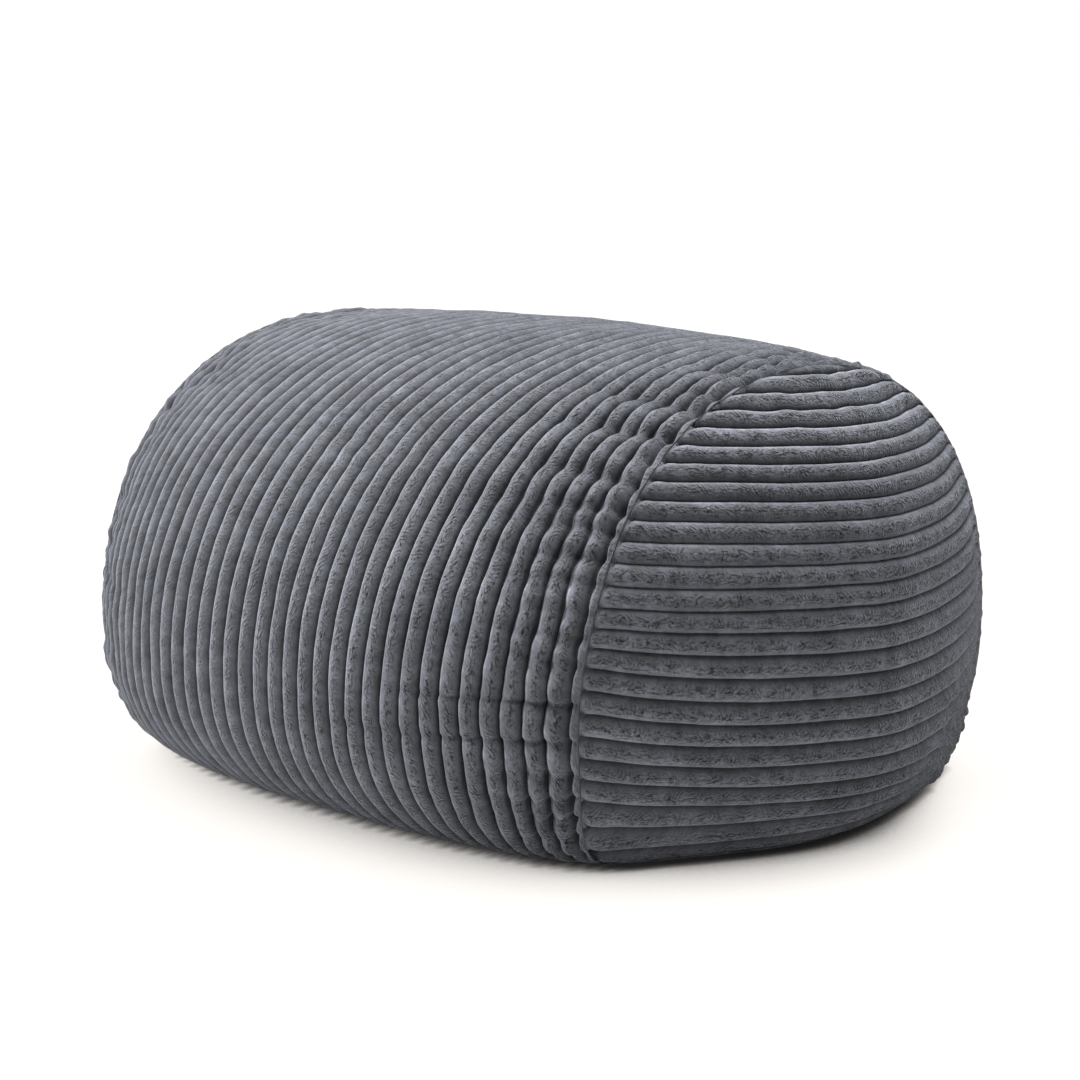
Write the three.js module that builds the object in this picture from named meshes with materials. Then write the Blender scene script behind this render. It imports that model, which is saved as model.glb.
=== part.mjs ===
// Long floor pouf: a filled cover of wide-wale plush cord.
// One body panel wraps round it with its wales across the length, and two domed
// end panels close it with their wales level. Each panel is one filled solid.
// Millimetres, +X along the length, +Y across, +Z up, base flat on z = 0.
import * as THREE from 'three';

// ---- overall form ---------------------------------------------------------
const BELLY_HALF_WIDTH = 392;     // widest section, at the middle of the body
const SEAM_HALF_WIDTH = 303;      // where the end seams draw the cover in
const WIDTH_EXPONENT = 2.8;       // how late the sides turn in towards a seam
const CENTRE_HEIGHT = 147.0;      // height of the widest line above the floor
const BELLY_RISE = 297.4;         // crown above the widest line, middle
const SEAM_RISE = 282.7;          // crown above the widest line, at a seam
const RISE_EXPONENT = 2.72;
const BELLY_DEPTH = 189.4;        // free depth below the widest line, pressed flat by the floor
const SEAM_DEPTH = 194.7;
const BELLY_UPPER_SQUARENESS = 2.17; // 2 is an ellipse, more is squarer
const SEAM_UPPER_SQUARENESS = 2.13;
const BELLY_LOWER_SQUARENESS = 2.42;
const SEAM_LOWER_SQUARENESS = 2.435;
const FLOOR_ROUNDING = 24;        // how softly the underside turns on to the floor

// ---- the two ends: one row each -------------------------------------------
// seamX: distance of the seam from the widest section
// bulge: how far the end panel domes out past its seam
// yaw:   skew of the seam plane, mm of length per mm of width
// roll, sag: how the end panel's wales tip and rise towards the sides
// firstWale: part of a wale above the first groove, on the middle line
// nearLower, farLower: dome profile seen from the side, low on the near and far side
// tight: how much closer its wales lie over the upper turn and at the foot
// pull:  how far the near seam lifts the lower wales
const ENDS = {
  right: {
    sign: 1, seamX: 333.8, bulge: 112.9, yaw: 0.028, roll: -0.049, sag: 1.4e-4, firstWale: 0.45,
    nearLower: 4.7, farLower: 2.5, tight: 6, pull: 10,
  },
  left: {
    sign: -1, seamX: 319.0, bulge: 126.0, yaw: 0, roll: 0.02, sag: 1.2e-4, firstWale: 0.6,
    nearLower: 3.5, farLower: 3.5, tight: 0, pull: 0,
  },
};
const DOME_PLAN_EXPONENT = 1.72;  // dome profile seen from above
const DOME_UPPER_EXPONENT = 3.02; // dome profile seen from the side, above the widest line
const DOME_LOWER_EXPONENT = 3.5;  // and below it, in the middle
const PULL_REACH = 60;            // how fast the pull dies away from the near seam

// ---- cloth relief -----------------------------------------------------------
const WALE_PITCH = 19.7;
const GROOVE_DEPTH = 5.5;
const SEAM_INSET = 7;             // both panels dip this far at a seam
const CUT_WALE = 0.35;            // part of a wale left at the right seam
const FLOOR_FADE = 26;            // grooves press flat this close to the floor
const SEAM_GAP = 0.35;            // clearance between two panels

// ---- mesh steps ---------------------------------------------------------------
const ARC_STEPS = 24;             // round the body, floor to floor over the top
const BASE_STEPS = 4;             // across the flat base
const CAP_COLUMNS = 12;
const FINE = 720;

const smooth = (a, b, v) => {
  const t = Math.min(1, Math.max(0, (v - a) / (b - a)));
  return t * t * (3 - 2 * t);
};
const lerp = (a, b, t) => a + (b - a) * t;

// The free shape's height against the height once it rests on the floor.
function rest(z) {
  const r = FLOOR_ROUNDING;
  if (z >= r) return z;
  return z <= -r ? 0 : (z + r) ** 2 / (4 * r);
}
function unrest(z) {
  const r = FLOOR_ROUNDING;
  return z >= r ? z : 2 * Math.sqrt(r * Math.max(0, z)) - r;
}

// Half sizes of the body's section at a signed distance x from the widest one.
function bodyDims(x) {
  const end = x >= 0 ? ENDS.right : ENDS.left;
  const s = Math.min(1, Math.abs(x) / end.seamX);
  return {
    w: lerp(BELLY_HALF_WIDTH, SEAM_HALF_WIDTH, s ** WIDTH_EXPONENT),
    up: lerp(BELLY_RISE, SEAM_RISE, s ** RISE_EXPONENT),
    down: lerp(BELLY_DEPTH, SEAM_DEPTH, s ** RISE_EXPONENT),
    mu: lerp(BELLY_UPPER_SQUARENESS, SEAM_UPPER_SQUARENESS, s * s),
    md: lerp(BELLY_LOWER_SQUARENESS, SEAM_LOWER_SQUARENESS, s * s),
  };
}

// The outline that both panels share at a seam.
const SEAM_SECTION = {
  w: SEAM_HALF_WIDTH - SEAM_INSET, up: SEAM_RISE - SEAM_INSET, down: SEAM_DEPTH,
  mu: SEAM_UPPER_SQUARENESS, md: SEAM_LOWER_SQUARENESS,
};

// y at which a section comes down on to the floor.
function contactY(d) {
  const h = CENTRE_HEIGHT + FLOOR_ROUNDING;
  return h >= d.down ? 0 : d.w * (1 - (h / d.down) ** d.md) ** (1 / d.md);
}

// Section outline over the top from floor to floor, in equal steps, with its
// in-plane outward normals.
function sectionArc(d, steps) {
  const yc = contactY(d);
  const pts = [];
  for (let i = 0; i <= FINE; i++) {
    const a = lerp(-0.5, 1.5, i / FINE) * Math.PI;
    const c = -Math.cos(a), s = Math.sin(a);
    const m = s >= 0 ? d.mu : d.md;
    const r = (Math.abs(c) ** m + Math.abs(s) ** m) ** (-1 / m);
    const y = d.w * c * r, z = rest(CENTRE_HEIGHT + (s >= 0 ? d.up : d.down) * s * r);
    if (z > 0) pts.push([y, z]);
  }
  pts.sort((p, q) => angleOver(p) - angleOver(q));
  pts.unshift([-yc, 0]);
  pts.push([yc, 0]);
  const run = [0];
  for (let i = 1; i < pts.length; i++)
    run.push(run[i - 1] + Math.hypot(pts[i][0] - pts[i - 1][0], pts[i][1] - pts[i - 1][1]));
  const out = [];
  let j = 1;
  for (let k = 0; k <= steps; k++) {
    const target = (run[run.length - 1] * k) / steps;
    while (j < pts.length - 1 && run[j] < target) j++;
    const t = (target - run[j - 1]) / Math.max(1e-9, run[j] - run[j - 1]);
    const y = lerp(pts[j - 1][0], pts[j][0], t), z = k === 0 || k === steps ? 0 : lerp(pts[j - 1][1], pts[j][1], t);
    const ty = pts[j][0] - pts[j - 1][0], tz = pts[j][1] - pts[j - 1][1], n = Math.hypot(ty, tz) || 1;
    out.push({ y, z, ny: -tz / n, nz: ty / n });
  }
  return out;
}
// Angle round the widest line, from under the near side over the top.
function angleOver([y, z]) {
  const a = Math.atan2(z - CENTRE_HEIGHT, -y);
  return a < -Math.PI / 2 ? a + 2 * Math.PI : a;
}

// Skew of the ends in plan.
function skew(x, y) {
  const end = x >= 0 ? ENDS.right : ENDS.left;
  const s = Math.min(1, Math.abs(x) / end.seamX);
  return x + end.yaw * y * s * s;
}

function solid(name, vertices, faces) {
  const g = new THREE.BufferGeometry();
  g.setAttribute('position', new THREE.Float32BufferAttribute(vertices.flat(), 3));
  g.setIndex(faces.flat());
  g.computeVertexNormals();
  const mesh = new THREE.Mesh(g, new THREE.MeshStandardMaterial({ color: 0x5f6167, roughness: 0.95, metalness: 0 }));
  mesh.name = name;
  return mesh;
}

// ---- body panel -----------------------------------------------------------------
// Stations along the near side, each a ring: seam, cut wale, then three rings a
// wale (groove, shoulder, shoulder), then cut wale and seam.
function bodyStations() {
  const n = 2000, xs = [], run = [0];
  for (let i = 0; i <= n; i++) xs.push(lerp(-ENDS.left.seamX, ENDS.right.seamX, i / n));
  for (let i = 1; i <= n; i++)
    run.push(run[i - 1] + Math.hypot(xs[i] - xs[i - 1], bodyDims(xs[i]).w - bodyDims(xs[i - 1]).w));
  const total = run[n];
  const xAt = (s) => {
    let i = 1;
    while (i < n && run[i] < s) i++;
    return lerp(xs[i - 1], xs[i], (s - run[i - 1]) / (run[i] - run[i - 1]));
  };
  const wales = Math.floor(total / WALE_PITCH - CUT_WALE - 0.2);
  const firstGroove = total - CUT_WALE * WALE_PITCH - wales * WALE_PITCH;
  const stations = [{ x: -ENDS.left.seamX, depth: 0, seam: true }];
  stations.push({ x: xAt(firstGroove * 0.5), depth: 1.5 });
  for (let k = 0; k < wales; k++) {
    const s = firstGroove + k * WALE_PITCH;
    stations.push({ x: xAt(s), depth: GROOVE_DEPTH });
    stations.push({ x: xAt(s + 0.28 * WALE_PITCH), depth: 0.4 });
    stations.push({ x: xAt(s + 0.72 * WALE_PITCH), depth: 0.4 });
  }
  stations.push({ x: xAt(total - CUT_WALE * WALE_PITCH), depth: GROOVE_DEPTH });
  stations.push({ x: xAt(total - CUT_WALE * 0.5 * WALE_PITCH), depth: 3.5 });
  stations.push({ x: ENDS.right.seamX, depth: 0, seam: true });
  return stations;
}

function bodyPanel() {
  const v = [], f = [];
  const stations = bodyStations();
  const ringSize = ARC_STEPS + BASE_STEPS;
  for (const st of stations) {
    const d = st.seam ? SEAM_SECTION : bodyDims(st.x);
    const arc = sectionArc(d, ARC_STEPS);
    for (const p of arc) {
      const k = st.depth * smooth(0, FLOOR_FADE, p.z);
      const y = p.y - k * p.ny, z = Math.max(0, p.z - k * p.nz);
      v.push([skew(st.x, y), y, z]);
    }
    const yc = arc[ARC_STEPS].y;
    for (let b = 1; b < BASE_STEPS; b++) {
      const y = lerp(yc, -yc, b / BASE_STEPS);
      v.push([skew(st.x, y), y, 0]);
    }
  }
  const at = (i, j) => i * ringSize + (j % ringSize);
  for (let i = 0; i + 1 < stations.length; i++)
    for (let j = 0; j < ringSize; j++) {
      f.push([at(i, j), at(i + 1, j + 1), at(i, j + 1)]);
      f.push([at(i, j), at(i + 1, j), at(i + 1, j + 1)]);
    }
  const last = stations.length - 1;
  const c0 = v.push([-ENDS.left.seamX, 0, CENTRE_HEIGHT]) - 1;
  const c1 = v.push([ENDS.right.seamX, 0, CENTRE_HEIGHT]) - 1;
  for (let j = 0; j < ringSize; j++) {
    f.push([c0, at(0, j), at(0, j + 1)]);
    f.push([c1, at(last, j + 1), at(last, j)]);
  }
  return solid('body_panel', v, f);
}

// ---- end panels -----------------------------------------------------------------
const lowerExponent = (end, y) => DOME_LOWER_EXPONENT
  + (end.nearLower - DOME_LOWER_EXPONENT) * smooth(40, -170, y)
  + (end.farLower - DOME_LOWER_EXPONENT) * smooth(110, 240, y);

// Height of the dome above its seam plane over the point (y, z).
function domeHeight(end, y, z) {
  const h = unrest(z) - CENTRE_HEIGHT;
  const m = h >= 0 ? SEAM_UPPER_SQUARENESS : SEAM_LOWER_SQUARENESS;
  const b = h >= 0 ? SEAM_RISE : SEAM_DEPTH;
  const e = h >= 0 ? DOME_UPPER_EXPONENT : lowerExponent(end, y);
  let lo = 0, hi = 1;             // g is 1 at the seam and 0 at the apex
  for (let i = 0; i < 48; i++) {
    const g = (lo + hi) / 2;
    const gw = g ** (1 / DOME_PLAN_EXPONENT), gz = g ** (1 / e);
    const outside = (Math.abs(y) / (SEAM_HALF_WIDTH * gw)) ** m + (Math.abs(h) / (b * gz)) ** m > 1;
    if (outside) lo = g; else hi = g;
  }
  return end.bulge * (1 - hi);
}
const inSeam = (y, z) => {
  const d = SEAM_SECTION, h = unrest(z) - CENTRE_HEIGHT;
  const m = h >= 0 ? d.mu : d.md, b = h >= 0 ? d.up : d.down;
  return (Math.abs(y) / d.w) ** m + (Math.abs(h) / b) ** m < 1 && z >= 0;
};

// Wale rows down the dome's middle line: steps of cloth from the top seam to
// the floor, equal but for the places where the wales lie tighter.
function capRows(end) {
  const top = CENTRE_HEIGHT + SEAM_RISE, n = 3000;
  const zs = [], run = [0];
  for (let i = 0; i <= n; i++) zs.push(top * (1 - (i / n) ** 2) );
  const xs = zs.map((z) => domeHeight(end, 0, Math.min(z, top - 1e-6)));
  for (let i = 1; i <= n; i++) run.push(run[i - 1] + Math.hypot(xs[i] - xs[i - 1], zs[i] - zs[i - 1]));
  const zAt = (s) => {
    let i = 1;
    while (i < n && run[i] < s) i++;
    return lerp(zs[i - 1], zs[i], (s - run[i - 1]) / (run[i] - run[i - 1]));
  };
  const total = run[n], rows = [];
  const clothAt = (r) => (r + end.firstWale) * WALE_PITCH
    - end.tight * (smooth(3, 8, r) - 0.9 * smooth(12, 18, r) + 1.4 * smooth(19.5, 23, r));
  for (let r = 0; clothAt(r) < total - 0.3 * WALE_PITCH; r++) {
    rows.push({ z: zAt(clothAt(r)), depth: GROOVE_DEPTH });
    for (const [t, depth] of [[0.28, 0.4], [0.72, 0.4]])
      if (clothAt(r + t) < total - 0.2 * WALE_PITCH) rows.push({ z: zAt(clothAt(r + t)), depth });
  }
  rows.push({ z: 0, depth: 0 });
  return rows;
}

function endPanel(name, end) {
  const v = [], f = [];
  const plane = end.seamX + SEAM_GAP;
  const place = (h, y, z) => {
    const x = plane + h;
    v.push([end.sign * (x + end.yaw * y), y, z]);
    return v.length - 1;
  };
  const drawn = (z) => end.pull * smooth(0, 40, z) * (smooth(235, 150, z) - 0.5 * smooth(265, 340, z));
  const rowZ = (row, y) => row.z + smooth(0, 60, row.z) * (end.sag * y * y + end.roll * y)
    + drawn(row.z) * Math.exp(-(y + SEAM_HALF_WIDTH - 10) / PULL_REACH);
  // Topmost point of the seam outline, measured along the tipped wales.
  let crest = { c: -1e9 };
  for (const p of sectionArc(SEAM_SECTION, FINE)) {
    const c = p.z - end.sag * p.y * p.y - end.roll * p.y;
    if (c > crest.c) crest = { c, y: p.y, z: p.z };
  }
  const apex = place(0, crest.y, crest.z);
  const rows = [];
  for (const row of capRows(end)) {
    if (row.z > crest.c - 2) continue;
    const edge = (dir) => {
      let lo = crest.y * smooth(0, 60, row.z), hi = dir * SEAM_HALF_WIDTH;
      if (row.z === 0) return dir * contactY(SEAM_SECTION);
      for (let i = 0; i < 48; i++) {
        const y = (lo + hi) / 2;
        if (inSeam(y, rowZ(row, y))) lo = y; else hi = y;
      }
      return lo;
    };
    const y0 = edge(-1), y1 = edge(1), ids = [];
    for (let k = 0; k <= CAP_COLUMNS; k++) {
      const t = (1 - Math.cos((Math.PI * k) / CAP_COLUMNS)) / 2;
      const y = lerp(y0, y1, t), z = row.z === 0 ? 0 : rowZ(row, y);
      if (k === 0 || k === CAP_COLUMNS) { ids.push(place(0, y, z)); continue; }
      const h = domeHeight(end, y, z), e = 0.5;
      const gy = (domeHeight(end, y + e, z) - domeHeight(end, y - e, z)) / (2 * e);
      const gz = z > 1 ? (domeHeight(end, y, z + e) - domeHeight(end, y, z - e)) / (2 * e) : 0;
      const n = Math.hypot(1, gy, gz);
      const d = row.depth * smooth(0, FLOOR_FADE, z);
      ids.push(place(Math.max(0.8, h - d / n), y + (d * gy) / n, z + (d * gz) / n));
    }
    rows.push(ids);
  }
  const K = CAP_COLUMNS;
  // crest to the first row, outside and inside
  for (let k = 0; k < K; k++) f.push([apex, rows[0][k], rows[0][k + 1]]);
  f.push([apex, rows[0][K], rows[0][0]]);
  for (let r = 0; r + 1 < rows.length; r++) {
    const a = rows[r], b = rows[r + 1];
    for (let k = 0; k < K; k++) f.push([a[k], b[k], b[k + 1]], [a[k], b[k + 1], a[k + 1]]);
    f.push([a[0], a[K], b[K]], [a[0], b[K], b[0]]);
  }
  // flat base
  const c = rows[rows.length - 1];
  for (let k = 1; k < K; k++) f.push([c[0], c[k + 1], c[k]]);
  return solid(name, v, end.sign > 0 ? f : f.map(([a, b, d]) => [a, d, b]));
}

const pouf = new THREE.Group();
pouf.add(bodyPanel(), endPanel('end_panel_right', ENDS.right), endPanel('end_panel_left', ENDS.left));

// Centre the length over the origin.
const box = new THREE.Box3().setFromObject(pouf, true);
pouf.position.x = -(box.min.x + box.max.x) / 2;

export default pouf;
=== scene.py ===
"""Long floor pouf in wide-wale plush cord: cover, plush, studio.

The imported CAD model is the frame. Each of its three filled panels is stood for by
a cover mesh on the same form, with its wales, gathers, creases and seams as real
geometry. Sizes here are in millimetres until a mesh is written.
"""
import math

import bpy
import numpy as np
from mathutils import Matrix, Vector


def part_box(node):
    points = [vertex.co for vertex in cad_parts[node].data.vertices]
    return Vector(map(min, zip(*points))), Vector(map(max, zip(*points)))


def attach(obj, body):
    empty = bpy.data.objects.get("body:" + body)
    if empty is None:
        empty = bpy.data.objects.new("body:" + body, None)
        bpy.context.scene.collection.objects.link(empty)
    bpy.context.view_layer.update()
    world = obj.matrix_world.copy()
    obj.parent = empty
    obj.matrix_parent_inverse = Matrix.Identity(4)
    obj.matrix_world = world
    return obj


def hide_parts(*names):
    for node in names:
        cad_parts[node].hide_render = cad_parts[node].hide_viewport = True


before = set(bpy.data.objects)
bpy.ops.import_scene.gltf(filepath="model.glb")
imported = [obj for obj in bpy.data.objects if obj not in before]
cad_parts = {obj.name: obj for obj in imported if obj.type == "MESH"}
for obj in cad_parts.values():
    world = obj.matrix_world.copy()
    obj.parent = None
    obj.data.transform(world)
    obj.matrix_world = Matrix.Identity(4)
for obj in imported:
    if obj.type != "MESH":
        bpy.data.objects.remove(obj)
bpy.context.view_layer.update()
body_lo, body_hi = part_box("body_panel")

# ---- overall form, as in the CAD model ---------------------------------------------
BELLY_HALF_WIDTH, SEAM_HALF_WIDTH, WIDTH_EXPONENT = 392.0, 303.0, 2.8
CENTRE_HEIGHT = 147.0
BELLY_RISE, SEAM_RISE, RISE_EXPONENT = 297.4, 282.7, 2.72
BELLY_DEPTH, SEAM_DEPTH = 189.4, 194.7
BELLY_UPPER, SEAM_UPPER = 2.17, 2.13          # squareness above the widest line
BELLY_LOWER, SEAM_LOWER = 2.42, 2.435         # and below it
FLOOR_ROUNDING = 24.0
RIGHT = dict(sign=1, seam=333.8, bulge=112.9, yaw=0.028, roll=-0.049, sag=1.4e-4, first=0.45,
             near_low=4.7, far_low=2.5, tight=6.0, pull=10.0, tuck=26.0, push=5.5, lit=0.5)
LEFT = dict(sign=-1, seam=319.0, bulge=126.0, yaw=0.0, roll=0.02, sag=1.2e-4, first=0.6,
            near_low=3.5, far_low=3.5, tight=0.0, pull=0.0, tuck=0.0, push=0.0, lit=0.0)
PLAN_EXPONENT, UPPER_EXPONENT, LOWER_EXPONENT = 1.72, 3.02, 3.5
PULL_REACH = 60.0                             # the end's low wales are drawn up to the near seam
PITCH = 19.7
SEAM_INSET, CAP_INSET = 2.4, 1.4
SEAM_GAP = 0.35
CUT_WALE = 0.45
# the CAD model is centred on its length, so its seam ring gives the shift
SHIFT_X = -0.858
# the near corner of the right end is drawn in under the cover, most at the floor
TUCK_HEIGHT, TUCK_REACH = 130.0, 260.0

# ---- cloth relief ---------------------------------------------------------------------
ROUND_DEPTH, END_ROUND_DEPTH = 5.6, 4.6      # crown to flank of a wale
GROOVE_DEPTH, END_GROOVE_DEPTH = 1.8, 0.9    # narrow line at its foot
WALE_STEPS = (0.0, 0.04, 0.11, 0.21, 0.35, 0.5, 0.65, 0.79, 0.89, 0.96)
ARC_STEPS, BASE_STEPS = 368, 16
# mm: the pile's brushed strokes, in bundles each curving round a place of its own
STROKE_PITCH, BUNDLE, STROKE_CURVE, STROKE_SWIRL = 3.6, 9.5, 28.0, 5.0
FINE_LEFT, FINE_RIGHT = 4, 28      # wales outside these carry the gathers
CAP_COLUMNS = 288
BACK_COLUMNS = 12            # across an end cover's hidden inner face

# Gathers at the right seam on the near half: one row each.
# along: mm round the seam from the near floor line; depth; reach from the seam
GATHERS_NEAR = (
    (56, 3.0, 50), (80, 3.4, 55), (104, 3.8, 60), (128, 4.4, 66), (151, 4.8, 76),
    (176, 4.2, 84), (203, 1.9, 50), (237, 2.6, 46), (274, 2.1, 60), (299, 2.5, 60), (323, 2.2, 66),
    (347, 3.0, 76), (371, 3.8, 86), (395, 4.6, 100), (417, 4.8, 108), (443, 4.6, 104),
    (470, 1.6, 60), (502, 5.0, 100), (544, 5.4, 96), (573, 4.2, 80), (612, 6.4, 76),
    (640, 5.0, 60), (668, 4.6, 60), (698, 4.2, 56),
)
# how strong they are in different places round the seam
GATHER_AT, GATHER_GAIN = (160, 210, 500, 600), (2.0, 1.6, 1.8, 1.15)
# Lengthwise creases low on the near side: share of the way round from the near
# floor line, first wale, depth, half width, and how far the wales jog below it
CREASES = (
    (0.1525, 21.0, 3.6, 2.5, 1.7),
    (0.1762, 25.5, 3.4, 2.3, -0.9),
)


def lerp(a, b, t):
    return a + (b - a) * t


def smooth(a, b, v):
    t = np.clip((v - a) / (b - a), 0.0, 1.0)
    return t * t * (3 - 2 * t)


# ---- seeded smooth noise ----------------------------------------------------------------
def _lattice(ix, iy, seed):
    h = (ix.astype(np.int64) * 374761393 + iy.astype(np.int64) * 668265263 + seed * 362437) & 0xFFFFFFFF
    h = ((h ^ (h >> 13)) * 1274126177) & 0xFFFFFFFF
    h = ((h ^ (h >> 15)) * 2246822519) & 0xFFFFFFFF
    return ((h ^ (h >> 16)) & 0xFFFF) / 32767.5 - 1.0


def noise(x, y, seed):
    x, y = np.broadcast_arrays(np.asarray(x, float), np.asarray(y, float))
    ix, iy = np.floor(x), np.floor(y)
    fx, fy = x - ix, y - iy
    fx, fy = fx * fx * (3 - 2 * fx), fy * fy * (3 - 2 * fy)
    a, b = _lattice(ix, iy, seed), _lattice(ix + 1, iy, seed)
    c, d = _lattice(ix, iy + 1, seed), _lattice(ix + 1, iy + 1, seed)
    return lerp(lerp(a, b, fx), lerp(c, d, fx), fy)


NEAR_CORNER, FAR_CORNER = 12.0, 9.0              # how far the low corners of the right end fill out


# ---- the filled form -----------------------------------------------------------------------
def rest(z):
    r = FLOOR_ROUNDING
    return np.where(z >= r, z, np.where(z <= -r, 0.0, (z + r) ** 2 / (4 * r)))


def unrest(z):
    r = FLOOR_ROUNDING
    return np.where(z >= r, z, 2 * np.sqrt(r * np.maximum(0, z)) - r)


def body_dims(x):
    x = np.asarray(x, float)
    s = np.minimum(1, np.abs(x) / np.where(x >= 0, RIGHT["seam"], LEFT["seam"]))
    return dict(
        w=lerp(BELLY_HALF_WIDTH, SEAM_HALF_WIDTH, s ** WIDTH_EXPONENT),
        up=lerp(BELLY_RISE, SEAM_RISE, s ** RISE_EXPONENT),
        down=lerp(BELLY_DEPTH, SEAM_DEPTH, s ** RISE_EXPONENT),
        mu=lerp(BELLY_UPPER, SEAM_UPPER, s * s),
        md=lerp(BELLY_LOWER, SEAM_LOWER, s * s))


SEAM_SECTION = dict(w=SEAM_HALF_WIDTH - SEAM_INSET, up=SEAM_RISE - SEAM_INSET,
                    down=SEAM_DEPTH, mu=SEAM_UPPER, md=SEAM_LOWER)


# an end cover's wales press out over the seam, so its outer edge is fuller
CAP_SECTION = dict(SEAM_SECTION, w=SEAM_HALF_WIDTH - CAP_INSET, up=SEAM_RISE - CAP_INSET)


def contact_y(d):
    h = CENTRE_HEIGHT + FLOOR_ROUNDING
    return d["w"] * (1 - np.minimum(1, h / d["down"]) ** d["md"]) ** (1 / d["md"])


def sections(d, shares, fine=1440):
    """Each section from the near floor line over the top to the far one, at these shares of its length."""
    d = {k: np.atleast_1d(np.asarray(v, float)) for k, v in d.items()}
    a = np.linspace(-0.5, 1.5, fine + 1)[None, :] * math.pi
    c, s = -np.cos(a), np.sin(a)
    m = np.where(s >= 0, d["mu"][:, None], d["md"][:, None])
    r = (np.abs(c) ** m + np.abs(s) ** m) ** (-1 / m)
    y = d["w"][:, None] * c * r
    z = rest(CENTRE_HEIGHT + np.where(s >= 0, d["up"][:, None], d["down"][:, None]) * s * r)
    yc = contact_y(d)[:, None]
    y = np.where(z > 0, y, np.where(a < math.pi / 2, -yc, yc))
    step = np.hypot(np.diff(y, axis=1), np.diff(z, axis=1))
    run = np.concatenate([np.zeros((len(y), 1)), np.cumsum(step, axis=1)], axis=1)
    t = np.asarray(shares, float)
    out_y = np.array([np.interp(t * q[-1], q, v) for q, v in zip(run, y)])
    out_z = np.array([np.interp(t * q[-1], q, v) for q, v in zip(run, z)])
    return out_y, out_z, run[:, -1], yc[:, 0]


def ring_shares():
    """Places of the ring points: closest low on the near side, where the creases are."""
    q = np.linspace(0, 1, 4001)
    density = 1 + 0.9 * (1 - smooth(0.40, 0.56, q)) + 0.7 * np.exp(-((q - 0.165) / 0.05) ** 2)
    run = np.concatenate([[0], np.cumsum((density[1:] + density[:-1]) / 2)])
    return np.interp(np.linspace(0, run[-1], ARC_STEPS + 1), run, q)


def shear(end, y, z, rim=1.0):
    """How far the plane of an end's seam is out of true, outwards; the hidden faces
    inside it keep to the plainer form."""
    out = end["yaw"] * y - end["tuck"] * smooth(0, TUCK_REACH, -y) * np.maximum(0, 1 - z / TUCK_HEIGHT) ** 2
    return out + rim * end["push"] * smooth(60, 210, -y) * np.exp(-((z - 262) / 80) ** 2)


def skew(x, y, z):
    s = np.minimum(1, np.abs(x) / np.where(x >= 0, RIGHT["seam"], LEFT["seam"]))
    return x + np.where(x >= 0, shear(RIGHT, y, z), shear(LEFT, y, z)) * s * s


def settled(p):
    """The filling sinks into the right end's two low corners and fills them out."""
    x, y, z = p[..., 0].copy(), p[..., 1], p[..., 2]
    near = NEAR_CORNER * smooth(150, 300, x) * smooth(110, 240, -y) * smooth(100, 12, z) * (0.6 + 0.4 * smooth(-2, 16, z))
    far = FAR_CORNER * smooth(50, 180, y) * smooth(66, 10, z)
    p[..., 1] += far * smooth(200, 330, x) - near
    p[..., 0] += far * smooth(290, 400, x)
    return p


def grid_normals(p):
    """Outward unit normals of a grid of points, first axis +x, second round the form."""
    a = np.gradient(p, axis=0)
    b = np.gradient(p, axis=1)
    n = np.cross(a, b)
    return n / np.maximum(1e-9, np.linalg.norm(n, axis=-1, keepdims=True))


def wale_rib(u, corner=0.0, sag=0.0):
    """Height of a wale over its groove, 0 to 1, across it; corner rounds its cut end off,
    sag moves its crown down."""
    u = u - sag * np.sin(math.pi * u)
    return np.maximum(0.0, 1 - np.abs(2 * np.clip(u, 0, 1) - 1) ** 2.15 - corner) ** 0.68


def groove_line(u):
    return 1 - smooth(0.0, 0.07, np.minimum(u, 1 - u))


# ---- meshes ------------------------------------------------------------------------------------
def write_mesh(name, points, quads, tris, **fields):
    me = bpy.data.meshes.new(name)
    faces = [tuple(map(int, f)) for f in quads] + [tuple(map(int, f)) for f in tris]
    me.from_pydata((points * 0.001).tolist(), [], faces)
    me.polygons.foreach_set("use_smooth", [True] * len(me.polygons))
    for label, data in fields.items():
        at = me.attributes.new(label, "FLOAT_VECTOR", "POINT")
        at.data.foreach_set("vector", np.asarray(data, np.float32).ravel())
    me.validate()
    me.update()
    ob = bpy.data.objects.new(name, me)
    bpy.context.scene.collection.objects.link(ob)
    return ob


def fold(across, depth, width):
    """A pinch: sharp at its foot, with soft shoulders."""
    t = np.abs(across) / width
    return depth * (0.5 * np.exp(-t ** 1.35) + 0.5 * np.exp(-(t / 2.0) ** 2))


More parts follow.
